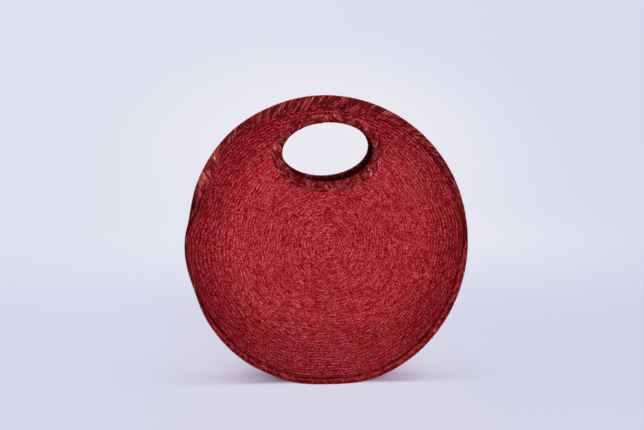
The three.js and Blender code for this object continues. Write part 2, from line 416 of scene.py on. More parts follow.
class NodeBench:
    """A node tree under construction, with short ways to add and join its nodes."""

    def __init__(self, tree: Tree) -> None:
        """Takes the tree to work on."""
        self.tree = tree

    def feed(self, node: Node, inputs: Fed) -> Node:
        """Joins sockets to the inputs of a node, or writes plain values on them.

        Args:
            node: The node to feed.
            inputs: What each input gets, by its name or number. A node stands for its first output.

        Returns:
            The same node.
        """
        for name, source in inputs.items():
            source = source.outputs[0] if isinstance(source, Node) else source
            if isinstance(source, Socket):
                self.tree.links.new(source, node.inputs[name])
            else:
                node.inputs[name].default_value = source
        return node

    def node(self, kind: str, inputs: Fed | None = None, **settings: object) -> Node:
        """Adds a node.

        Args:
            kind: Blender's name for the node type.
            inputs: What each input gets.
            **settings: Properties to set on it.

        Returns:
            The new node.
        """
        made = self.tree.nodes.new(kind)
        for name, value in settings.items():
            setattr(made, name, value)
        return self.feed(made, inputs or {})

    def math(self, operation: str, *values: Wired) -> Socket:
        """Adds a sum on up to three values."""
        return self.node("ShaderNodeMath", dict(enumerate(values)), operation=operation).outputs[0]

    def total(self, base: Wired, *parts: tuple[Wired, Wired]) -> Socket:
        """Adds a sum of values to a base.

        Args:
            base: What the sum starts from.
            *parts: Each value and its weight.

        Returns:
            The sum.
        """
        for value, weight in parts:
            base = self.math("MULTIPLY_ADD", value, weight, base)
        return base

    def range(self, value: Wired, source: Pair, target: tuple[Wired, Wired] = (0.0, 1.0)) -> Socket:
        """Adds a soft change from one range to another."""
        fed = dict(enumerate((value, *source, *target)))
        return self.node("ShaderNodeMapRange", fed, interpolation_type="SMOOTHSTEP").outputs[0]

    def blend(self, share: Wired, first: object, second: object, way: str = "MIX") -> Socket:
        """Adds a blend of two colours, by the share of the second."""
        fed = {0: share, 6: first, 7: second}
        return self.node("ShaderNodeMix", fed, data_type="RGBA", blend_type=way).outputs[2]

    def ramp(self, value: Wired, *stops: tuple[float, Colour]) -> Node:
        """Adds a run of colours.

        Args:
            value: Place on the run.
            *stops: Place and colour of each stop, in order.

        Returns:
            The node, its colour first.
        """
        made = self.node("ShaderNodeValToRGB", {0: value})
        elements = made.color_ramp.elements
        for element, (place, colour) in zip(elements, (stops[0], stops[-1])):
            element.position, element.color = place, colour
        for place, colour in stops[1:-1]:
            elements.new(place).color = colour
        return made

    def noise(self, place: Wired, scale: Wired, detail: float, **settings: object) -> Socket:
        """Adds cloudy noise at a place."""
        fed = {"Vector": place, "Scale": scale, "Detail": detail}
        return self.node("ShaderNodeTexNoise", fed, **settings).outputs[0]

    def vector(self, *values: Wired) -> Socket:
        """Adds a vector of up to three values."""
        return self.node("ShaderNodeCombineXYZ", dict(enumerate(values))).outputs[0]

    def length(self, *values: Wired) -> Socket:
        """Adds the length of a vector of up to three values."""
        measured = self.node("ShaderNodeVectorMath", {0: self.vector(*values)}, operation="LENGTH")
        return measured.outputs["Value"]

    def place(self) -> Socket:
        """Adds a read of where a point lies on its object."""
        return self.node("ShaderNodeTexCoord").outputs["Object"]

    def carried(self, name: str) -> Socket:
        """Adds a shader's read of a value that the mesh carries."""
        return self.node("ShaderNodeAttribute", attribute_name=name).outputs["Fac"]

    def named(self, name: str, kind: str = "FLOAT_VECTOR") -> Socket:
        """Adds a geometry tree's read of a named attribute."""
        read = self.node("GeometryNodeInputNamedAttribute", {"Name": name}, data_type=kind)
        return read.outputs["Attribute"]

    def looked_at(self) -> Socket:
        """Adds a mask of the rays that look at a surface, straight or in a shine.

        Returns:
            1 for such a ray, 0 for one that only lights other pieces.
        """
        rays = self.node("ShaderNodeLightPath").outputs
        mirrored = self.math("MAXIMUM", rays["Is Glossy Ray"], rays["Is Transmission Ray"])
        return self.math("MAXIMUM", rays["Is Camera Ray"], mirrored)


def add_sockets(tree: Tree, way: str, sockets: dict[str, str]) -> None:
    """Adds named sockets of a kind each to a group, as its INPUT or OUTPUT."""
    for name, kind in sockets.items():
        tree.interface.new_socket(name, in_out=way, socket_type=f"NodeSocket{kind}")


def add_object(name: str, data: bpy.types.ID) -> Piece:
    """Adds an object to the scene.

    Args:
        name: Name of the object.
        data: Its mesh, light or camera.

    Returns:
        The object, at the origin.
    """
    made = bpy.data.objects.new(name, data)
    bpy.context.scene.collection.objects.link(made)
    return made


def aim_object(made: Piece, place: Spot, aim: Spot) -> None:
    """Puts a lamp or a camera at a place and turns it to a point.

    Args:
        made: The lamp or camera.
        place: Where it goes.
        aim: What it looks at.
    """
    made.location = place
    made.rotation_mode = "QUATERNION"
    made.rotation_quaternion = (Vector(aim) - Vector(place)).to_track_quat("-Z", "Y")


def add_points(name: str, spots: Array, edges: list[tuple[int, int]], values: dict[str, Array]) -> Piece:
    """Makes an object from points that carry values.

    Args:
        name: Name of the object and its mesh.
        spots: Points.
        edges: Pairs of point numbers.
        values: A value or a vector for each point, by the name of the attribute.

    Returns:
        The object.
    """
    mesh = bpy.data.meshes.new(name)
    mesh.from_pydata(spots.tolist(), edges, [])
    for title, value in values.items():
        kind, part = ("FLOAT_VECTOR", "vector") if value.ndim == 2 else ("FLOAT", "value")
        attribute = mesh.attributes.new(title, kind, "POINT")
        attribute.data.foreach_set(part, value.astype(np.float32).ravel())
    return add_object(name, mesh)


def turn_outwards(mesh: bpy.types.Mesh) -> None:
    """Flips a closed mesh whose faces point inwards.

    Args:
        mesh: The mesh.
    """
    mesh.calc_loop_triangles()
    spots = np.empty(len(mesh.vertices) * 3)
    mesh.vertices.foreach_get("co", spots)
    corners = np.empty(len(mesh.loop_triangles) * 3, dtype=np.int32)
    mesh.loop_triangles.foreach_get("vertices", corners)
    a, b, c = spots.reshape(-1, 3)[corners.reshape(-1, 3)].transpose(1, 0, 2)
    if np.einsum("ij,ij->i", a, np.cross(b, c)).sum() < 0.0:
        mesh.flip_normals()


class PathTool:
    """Base of the geometry node tools that turn paths or points of a mesh into pieces."""

    title: str
    inputs: dict[str, str]

    def __init__(self) -> None:
        """Builds the tree once."""
        self.tree = bpy.data.node_groups.new(self.title, "GeometryNodeTree")
        add_sockets(self.tree, "INPUT", {"Paths": "Geometry", **self.inputs, "Finish": "Material"})
        add_sockets(self.tree, "OUTPUT", {"Piece": "Geometry"})
        bench = NodeBench(self.tree)
        given = bench.node("NodeGroupInput").outputs
        soft = bench.node("GeometryNodeSetShadeSmooth", {"Geometry": self.shape(bench, given)})
        whole = bench.node("GeometryNodeRealizeInstances", {"Geometry": soft})
        dressed = bench.node("GeometryNodeSetMaterial", {"Geometry": whole, "Material": given["Finish"]})
        bench.node("NodeGroupOutput", {"Piece": dressed})

    def shape(self, bench: NodeBench, given: Sockets) -> Node:
        """Adds the nodes that make the geometry.

        Args:
            bench: Bench with the tree.
            given: Inputs of the tree.

        Returns:
            The last node, its geometry first.
        """
        raise NotImplementedError

    def make(self, paths: Piece, values: dict[str, object]) -> Piece:
        """Runs the tree on an object and keeps the result as its plain mesh.

        Args:
            paths: Object whose mesh holds the paths.
            values: Value of each named input.

        Returns:
            The same object, with the finished mesh and no modifier.
        """
        modifier = paths.modifiers.new(self.title, "NODES")
        modifier.node_group = self.tree
        for item in self.tree.interface.items_tree:
            if item.item_type == "SOCKET" and item.name in values:
                modifier[item.identifier] = values[item.name]
        graph = bpy.context.evaluated_depsgraph_get()
        mesh = bpy.data.meshes.new_from_object(
            paths.evaluated_get(graph), preserve_all_data_layers=True, depsgraph=graph
        )
        paths.modifiers.clear()
        old = paths.data
        paths.data = mesh
        bpy.data.meshes.remove(old)
        mesh.name = paths.name
        turn_outwards(mesh)
        return paths


class SweepTool(PathTool):
    """Sweeps a flat oval section along every path of a mesh.

    The paths carry the attributes facing, girth, along, tint and painted_shade, the shade painted into the
    colour. The strands also carry across, from -1 at one side of the strand to 1 at the other.
    """

    title = "swept_strands"
    inputs = {"Width": "Float", "Thickness": "Float", "Section Points": "Int"}

    def shape(self, bench: NodeBench, given: Sockets) -> Node:
        """Adds the section, the turned path and the sweep.

        Args:
            bench: Bench with the tree.
            given: Inputs of the tree.

        Returns:
            The node that sweeps the strands.
        """
        size = {"Resolution": given["Section Points"], "Radius": 1.0}
        ring = bench.node("GeometryNodeCurvePrimitiveCircle", size, mode="RADIUS")
        place = bench.node("ShaderNodeSeparateXYZ", {0: bench.node("GeometryNodeInputPosition")})
        mark = {"Geometry": ring, "Name": "across", "Value": place.outputs["Y"]}
        marked = bench.node("GeometryNodeStoreNamedAttribute", mark, data_type="FLOAT", domain="POINT")
        halves = [bench.math("MULTIPLY", given[side], 0.5) for side in ("Thickness", "Width")]
        flat = {"Geometry": marked, "Scale": bench.vector(*halves, 1.0)}
        section = bench.node("GeometryNodeTransform", flat)
        curve = bench.node("GeometryNodeMeshToCurve", {"Mesh": given["Paths"]})
        way = {"Curve": curve, "Normal": bench.named("facing")}
        turned = bench.node("GeometryNodeSetCurveNormal", way, mode="FREE")
        swept = {"Curve": turned, "Profile Curve": section, "Scale": bench.named("girth", "FLOAT")}
        return bench.node("GeometryNodeCurveToMesh", {**swept, "Fill Caps": True})


class StitchTool(PathTool):
    """Sets one short stitch on every point of a mesh, along its heading and flat on its facing."""

    title = "sewn_stitches"
    inputs = {"Length": "Float", "Thread": "Float", "Unevenness": "Float", "Seed": "Int"}
    bead = {"Segments": 7, "Rings": 6, "Radius": 0.5}

    def shape(self, bench: NodeBench, given: Sockets) -> Node:
        """Adds the stitch and sets it on the points.

        Args:
            bench: Bench with the tree.
            given: Inputs of the tree.

        Returns:
            The node that sets the stitches.
        """
        bead = bench.node("GeometryNodeMeshUVSphere", self.bead)
        axes = {"Primary Axis": bench.named("heading"), "Secondary Axis": bench.named("facing")}
        turn = bench.node("FunctionNodeAxesToRotation", axes, primary_axis="Z", secondary_axis="X")
        low, high = (bench.math(way, 1.0, given["Unevenness"]) for way in ("SUBTRACT", "ADD"))
        lots = {2: low, 3: high, "Seed": given["Seed"]}
        chance = bench.node("FunctionNodeRandomValue", lots, data_type="FLOAT").outputs[1]
        length = bench.math("MULTIPLY", given["Length"], chance)
        scale = bench.vector(given["Thread"], given["Thread"], length)
        placed = {"Points": given["Paths"], "Instance": bead, "Rotation": turn, "Scale": scale}
        return bench.node("GeometryNodeInstanceOnPoints", placed)


@dataclass
class PathSet:
    """Paths that a strand follows, with what the strand needs at each point."""

    spare: float = 0.5
    paths: list[dict[str, Array]] = field(default_factory=list)

    def add(self, points: Array, facing: Array, girth: Array, tint: Array, painted_shade: Array) -> None:
        """Adds one open path.

        Args:
            points: Points of the path.
            facing: Outward direction at each point.
            girth: Size of the strand at each point, 1 for its full size.
            tint: How pale the dye is at each point, from 0 to 1.
            painted_shade: How much shade is painted into the colour at each point, from 0 to 1.
        """
        if len(points) < 2:
            return
        heading = unit(np.gradient(points, axis=0))
        square = unit(facing - heading * np.sum(facing * heading, axis=1, keepdims=True))
        before = self.paths[-1]["along"][-1] + self.spare if self.paths else 0.0
        along = before + run_lengths(points)
        self.paths.append(
            dict(points=points, facing=square, girth=girth, along=along, tint=tint, painted_shade=painted_shade)
        )

    def object(self, name: str) -> Piece:
        """Writes the paths as the edges of a new object.

        Args:
            name: Name of the object.

        Returns:
            The object.
        """
        values = {title: np.concatenate([path[title] for path in self.paths]) for title in self.paths[0]}
        spots = values.pop("points")
        ends = set(np.cumsum([len(path["points"]) for path in self.paths]) - 1)
        edges = [(i, i + 1) for i in range(len(spots)) if i not in ends]
        return add_points(name, spots, edges, values)


@dataclass
class ShaderGroups:
    """Effects that the finishes share, each built once.

    Half of a lane is a little short of a half, so that the far side of a strand is still in its last lane.
    """

    half_lane: float = 0.4999
    lane_shift: float = 0.5
    jitter: float = 1.3
    jitter_rate: float = 0.37
    gap_reach: float = 0.22
    side_height: float = 0.4
    fibre_detail: float = 3.0
    fibre_levels: Pair = (0.25, 0.75)
    cloud_detail: float = 4.0
    patch_detail: float = 3.0
    patch_levels: Pair = (0.44, 0.68)

    def __post_init__(self) -> None:
        """Builds the groups."""
        self.strips = self.build_strips()
        self.fibre = self.build_fibre()
        self.fade = self.build_fade()

    @staticmethod
    def group(name: str, inputs: str, outputs: str) -> tuple[NodeBench, Sockets, Node]:
        """Starts a shader group with value inputs and outputs.

        Args:
            name: Name of the group.
            inputs: Names of its inputs.
            outputs: Names of its outputs.

        Returns:
            The bench, the inputs and the output node.
        """
        bench = NodeBench(bpy.data.node_groups.new(name, "ShaderNodeTree"))
        add_sockets(bench.tree, "INPUT", dict.fromkeys(inputs.split(), "Float"))
        add_sockets(bench.tree, "OUTPUT", dict.fromkeys(outputs.split(), "Float"))
        return bench, bench.node("NodeGroupInput").outputs, bench.node("NodeGroupOutput")

    def build_strips(self) -> Tree:
        """Slanted leaf strips of a plaited row.

        Returns:
            The group: tone of each strip, gaps between them and their height.
        """
        inputs = "Along Across Strip Slant Lanes Tilt"
        bench, given, result = self.group("leaf_strips", inputs, "Tone Gap Height")
        half_lanes = bench.math("MULTIPLY", given["Lanes"], self.half_lane)
        wide = bench.math("MULTIPLY_ADD", given["Across"], half_lanes, half_lanes)
        lane = bench.math("FLOOR", wide)
        from_middle = bench.math("ABSOLUTE", bench.math("SUBTRACT", wide, half_lanes))
        beside = bench.math("SUBTRACT", wide, lane)
        run = bench.math("DIVIDE", given["Along"], given["Strip"])
        shifts = {"W": bench.math("MULTIPLY", run, self.jitter_rate), "Scale": 1.0}
        jitter = bench.node("ShaderNodeTexNoise", shifts, noise_dimensions="1D").outputs[0]
        slanted = (from_middle, given["Slant"])
        run = bench.total(run, (jitter, self.jitter), slanted, (lane, self.lane_shift))
        part = bench.math("FRACT", run)
        cell = bench.vector(bench.math("FLOOR", run), lane)
        chance = bench.node("ShaderNodeTexWhiteNoise", {"Vector": cell}, noise_dimensions="2D").outputs
        lots = bench.node("ShaderNodeSeparateColor", {0: chance["Color"]}).outputs
        edge, side = (
            bench.math("MINIMUM", share, bench.math("SUBTRACT", 1.0, share)) for share in (part, beside)
        )
        gap = bench.range(bench.math("MINIMUM", edge, side), (0.0, self.gap_reach), (1.0, 0.0))
        rounded = bench.range(side, (0.0, 0.5), (self.side_height, 1.0))
        crown = bench.math("MULTIPLY", bench.range(edge, (0.0, 0.5)), rounded)
        lean = bench.math("SUBTRACT", lots["Green"], 0.5)
        height = bench.total(crown, (lean, bench.math("MULTIPLY", part, given["Tilt"])))
        bench.feed(result, {"Tone": chance["Value"], "Gap": gap, "Height": height})
        return bench.tree

    def build_fibre(self) -> Tree:
        """Fine streaks that run along a leaf strip.

        Returns:
            The group.
        """
        bench, given, result = self.group("leaf_fibre", "Along Across Run Grain", "Streak")
        long = bench.math("DIVIDE", given["Along"], given["Run"])
        wide = bench.math("MULTIPLY", given["Across"], given["Grain"])
        noise = bench.noise(bench.vector(long, wide), 1.0, self.fibre_detail, noise_dimensions="2D")
        bench.feed(result, {"Streak": bench.range(noise, self.fibre_levels)})
        return bench.tree

    def build_fade(self) -> Tree:
        """Cloudy fading of the dye over the whole bag, and patches where it is warmer.

        Returns:
            The group.
        """
        bench, given, result = self.group("dye_fade", "Cloud Contrast Patch", "Fade Warmth")
        place = bench.place()
        cloud = bench.math("SUBTRACT", bench.noise(place, given["Cloud"], self.cloud_detail), 0.5)
        faded = bench.math("MULTIPLY_ADD", cloud, given["Contrast"], 1.0)
        patch = bench.noise(place, given["Patch"], self.patch_detail)
        bench.feed(result, {"Fade": faded, "Warmth": bench.range(patch, self.patch_levels)})
        return bench.tree


def new_material(name: str) -> tuple[Material, NodeBench, Node]:
    """Starts a material.

    Args:
        name: Name of the material.

    Returns:
        The material, a bench with its tree and its Principled BSDF.
    """
    material = bpy.data.materials.new(name)
    material.use_nodes = True
    return material, NodeBench(material.node_tree), material.node_tree.nodes["Principled BSDF"]


@dataclass(frozen=True)
class PlaitFinish:
    """Dyed palm leaf, plaited: colours from the deepest dye to the barest leaf, sizes in metres."""

    name: str
    deep: Colour
    body: Colour
    pale: Colour
    bare: Colour
    strip: float
    slant: float
    lanes: float
    tilt: float
    run: float
    grain: float
    strip_share: float
    streak_share: float
    tint_share: float
    gap_dark: float
    # Painted shade: how much the sides of each strand, and the places marked with painted shade, are
    # darkened
    painted_side_shade: float
    painted_shade_dim: float
    painted_shade_tone: float
    rough: Pair
    satin: float
    relief: float
    body_at: float = 0.5
    pale_at: float = 0.9
    painted_row_shade: float = 0.7
    side_power: float = 3.0
    streak_relief: float = 0.25
    cloud: float = 24.0
    fade: float = 0.20
    patch: float = 85.0
    warm: Colour = (1.0, 0.74, 0.64, 1.0)
    shine: float = 0.01
    edge_tint: Colour = linear(226, 120, 126)

    def make(self, groups: ShaderGroups) -> Material:
        """Builds the material.

        Args:
            groups: Shared shader groups.

        Returns:
            The material.
        """
        material, bench, shader = new_material(self.name)
        along, across, tint, painted_shade = map(bench.carried, ("along", "across", "tint", "painted_shade"))
        place = {"Along": along, "Across": across}
        cut = {"Strip": self.strip, "Slant": self.slant, "Lanes": self.lanes, "Tilt": self.tilt}
        strips = bench.node("ShaderNodeGroup", node_tree=groups.strips)
        tone, gap, height = bench.feed(strips, {**place, **cut}).outputs
        fibre = bench.node("ShaderNodeGroup", node_tree=groups.fibre)
        streak = bench.feed(fibre, {**place, "Run": self.run, "Grain": self.grain}).outputs[0]
        clouds = bench.node("ShaderNodeGroup", node_tree=groups.fade)
        sizes = {"Cloud": self.cloud, "Contrast": self.fade, "Patch": self.patch}
        faded, warmth = bench.feed(clouds, sizes).outputs
        # Painted shade: where painted shade is marked the tone is pulled down and the colour dimmed, and
        # the sides of each row are darkened
        tone = bench.total(
            bench.math("MULTIPLY", tone, self.strip_share),
            (streak, self.streak_share),
            (tint, self.tint_share),
            (painted_shade, -self.painted_shade_tone),
        )
        between = ((self.body_at, self.body), (self.pale_at, self.pale))
        dyed = bench.ramp(tone, (0.0, self.deep), *between, (1.0, self.bare))
        warmed = bench.blend(warmth, dyed, self.warm, "MULTIPLY")
        side = bench.math("POWER", bench.math("ABSOLUTE", across), self.side_power)
        darker = bench.math("MULTIPLY_ADD", painted_shade, -self.painted_row_shade, -self.painted_side_shade)
        shade = bench.total(faded, (side, darker), (gap, -self.gap_dark))
        kept = bench.math("MULTIPLY_ADD", painted_shade, -self.painted_shade_dim, 1.0)
        scale = {0: warmed, "Scale": bench.math("MULTIPLY", shade, kept)}
        raised = {"Distance": self.relief, "Height": bench.total(height, (streak, self.streak_relief))}
        inputs = {
            "Base Color": bench.node("ShaderNodeVectorMath", scale, operation="SCALE"),
            "Roughness": bench.range(streak, (0.0, 1.0), self.rough),
            "Specular IOR Level": self.shine,
            "Specular Tint": self.edge_tint,
            "Metallic": self.satin,
            "Normal": bench.node("ShaderNodeBump", raised),
        }
        bench.feed(shader, inputs)
        return material


@dataclass(frozen=True)
class ThreadFinish:
    """Matt sewing thread."""

    name: str
    deep: Colour
    pale: Colour
    rough: float
    grain: float = 180.0
    detail: float = 4.0
    tones: Pair = (0.35, 0.65)
    relief: float = 0.0002

    def make(self) -> Material:
        """Builds the material.

        Returns:
            The material.
        """
        material, bench, shader = new_material(self.name)
        noise = bench.noise(bench.place(), self.grain, self.detail)
        dyed = bench.ramp(noise, *zip(self.tones, (self.deep, self.pale)))
        bump = bench.node("ShaderNodeBump", {"Distance": self.relief, "Height": noise})
        bench.feed(shader, {"Base Color": dyed, "Roughness": self.rough, "Normal": bump})
        return material


PANEL_FINISH = PlaitFinish(
    name="dyed_palm_coil",
    deep=linear(72, 0, 5),
    body=linear(162, 18, 31),
    pale=linear(226, 97, 105),
    bare=linear(240, 130, 138),
    strip=0.0011,
    slant=0.5,
    lanes=6.0,
    tilt=2.6,
    run=0.010,
    grain=2.2,
    strip_share=0.66,
    streak_share=0.30,
    tint_share=0.10,
    gap_dark=0.6,
    painted_side_shade=0.42,
    painted_shade_dim=0.25,
    painted_shade_tone=0.15,
    rough=(0.30, 0.44),
    satin=0.5,
    relief=0.00024,
)
EDGE_FINISH = replace(
    PANEL_FINISH,
    name="dyed_palm_edge",
    deep=linear(52, 0, 3),
    body=linear(110, 13, 18),
    pale=linear(178, 62, 65),
    bare=linear(190, 90, 92),
    strip=0.009,
    slant=0.0,
    lanes=1.0,
    tilt=0.5,
    run=0.022,
    grain=5.0,
    strip_share=0.45,
    tint_share=0.25,
    gap_dark=0.12,
    painted_side_shade=0.4,
    satin=0.2,
    relief=0.0002,
)
BINDING_FINISH = replace(
    EDGE_FINISH,
    name="dyed_palm_binding",
    deep=linear(46, 0, 1),
    body=linear(103, 19, 23),
    pale=linear(176, 76, 78),
    bare=linear(208, 150, 148),
    strip_share=0.22,
    streak_share=0.26,
    tint_share=0.5,
    painted_side_shade=0.6,
    painted_shade_dim=0.45,
    painted_shade_tone=0.25,
    rough=(0.34, 0.5),
)
THREAD_FINISH = ThreadFinish("red_thread", linear(96, 20, 22), linear(142, 56, 56), 0.7)

# Size and wavelength of the pale and dark stretches of a plaited row
ROW_DYE = ((0.3, 0.055), (0.2, 0.021))


@dataclass(frozen=True)
class Kit:
    """Tools and finishes that all pieces share."""

    sweep: SweepTool
    stitch: StitchTool
    panel: Material
    binding: Material
    edge: Material
    thread: Material


def make_kit() -> Kit:
    """Builds the shared tools and finishes.
    """
    groups = ShaderGroups()
    finishes = [finish.make(groups) for finish in (PANEL_FINISH, BINDING_FINISH, EDGE_FINISH)]
    return Kit(SweepTool(), StitchTool(), *finishes, THREAD_FINISH.make())


@dataclass(frozen=True)
class Fold:
    """Stretch of height over which the upper part of a disc bends away."""

    low: float = 0.204
    high: float = 0.240

    def bend(self, piece: Piece, half: Half) -> None:
        """Bakes the place of a piece into its mesh."""
        half.flap
        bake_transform(piece)


@dataclass
class CoilPanel:
    """One disc: a narrow plait wound in a spiral and sewn row to row over the dish.

    Shares are of the radius of the dish. The second value of each painted shade is what it loses at the
    foot.
    """

    form: BagForm
    half: Half
    kit: Kit
    fold: Fold
    seed: int
    rows: int = 47
    step: float = 0.0019
    largest_turn: float = 0.045
    first_turn: float = 0.3
    spare_turns: float = 0.8
    rim_gap: float = 0.45
    section_points: int = 6
    overlap: float = 1.42
    thickness: float = 0.0017
    shingle: float = 0.04
    wall_shingle: float = 0.12
    wall: Pair = (0.66, 0.92)
    wobble: float = 0.00022
    lift_run: float = 0.016
    drift_run: float = 0.045
    swell: float = 0.06
    swell_run: float = 0.012
    valley: float = 0.0008
    valley_width: float = 0.0016
    core_pale: float = 0.5
    core_turns: float = 1.1
    foot_spread: float = 38.0
    foot_reach: float = 0.3
    painted_wall_shade: Pair = (0.6, 0.15)
    painted_valley_shade: Pair = (0.6, 0.45)
    painted_light_reach: Pair = (0.55, 0.90)

    @property
    def pitch(self) -> float:
        """Distance between two rows."""
        return self.form.rim / self.rows

    def turns(self) -> Array:
        """Counts the turns from the middle.

        Returns:
            The count at each point of the spiral.
        """
        turns = [self.first_turn]
        while turns[-1] < self.rows + self.spare_turns:
            around = 2 * math.pi * self.pitch * turns[-1]
            turns.append(turns[-1] + min(self.step / around, self.largest_turn))
        return np.array(turns)

    def build(self) -> Piece:
        """Winds the spiral, leaves out the hand hole and sweeps the plait along it.

        Returns:
            The finished piece.
        """
        rng = np.random.default_rng(self.seed)
        form, half, pitch = self.form, self.half, self.pitch
        turns = self.turns()
        angle = 2 * math.pi * turns
        radius = np.minimum(turns * pitch, form.rim - self.rim_gap * pitch)
        middle = form.sheet(half, radius, angle)
        along = run_lengths(middle)
        across = form.sheet(half, radius + pitch / 2, angle) - form.sheet(half, radius - pitch / 2, angle)
        sideways = unit(across)
        facing = form.facing(half, radius, angle)
        share = radius / form.dish_rim
        groove = hill((radius - form.dish_rim) / self.valley_width)
        lift = self.wobble * wander(along, self.lift_run, rng) - self.valley * groove
        drift = self.wobble * wander(along, self.drift_run, rng)
        points = middle + facing * lift[:, None] + sideways * drift[:, None]
        girth = np.linalg.norm(across, axis=1) / pitch
        girth = girth * (1.0 + self.swell * wander(along, self.swell_run, rng))
        tint = uneven_dye(along, ROW_DYE, rng) + self.core_pale * hill(turns / self.core_turns)
        # Painted light: paler near the rim at each mark, where the bag is lit more
        tint = tint + marks_at(SLACK[half].painted_lights, angle) * ease(share, *self.painted_light_reach)
        # Painted shade on the wall of the dish and in the seam valley, less of it at the foot
        foot = hump(angle, 0.0, self.foot_spread)
        painted_wall_shade, painted_valley_shade = (most - less * foot for most, less in (self.painted_wall_shade, self.painted_valley_shade))
        painted_shade = painted_wall_shade * ease(share, self.wall[0] - self.foot_reach * foot, self.wall[1])
        painted_shade = np.clip(painted_shade + painted_valley_shade * groove, 0.0, 1.0)
        slope = self.shingle + (self.wall_shingle - self.shingle) * ease(share, *self.wall)
        tilted = unit(facing + slope[:, None] * sideways)

        paths = PathSet(spare=0.0)
        kept = ~form.inside_hole(half, radius, angle)
        for run in np.split(np.arange(len(turns)), np.nonzero(np.diff(kept))[0] + 1):
            if kept[run[0]]:
                paths.add(points[run], tilted[run], girth[run], tint[run], painted_shade[run])
        piece = self.kit.sweep.make(
            paths.object(half.node("coil")),
            {
                "Width": pitch * self.overlap,
                "Thickness": self.thickness,
                "Section Points": self.section_points,
                "Finish": self.kit.panel,
            },
        )
        self.fold.bend(piece, half)
        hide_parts(half.node("panel_body"), half.node("panel_flap"))
        return piece


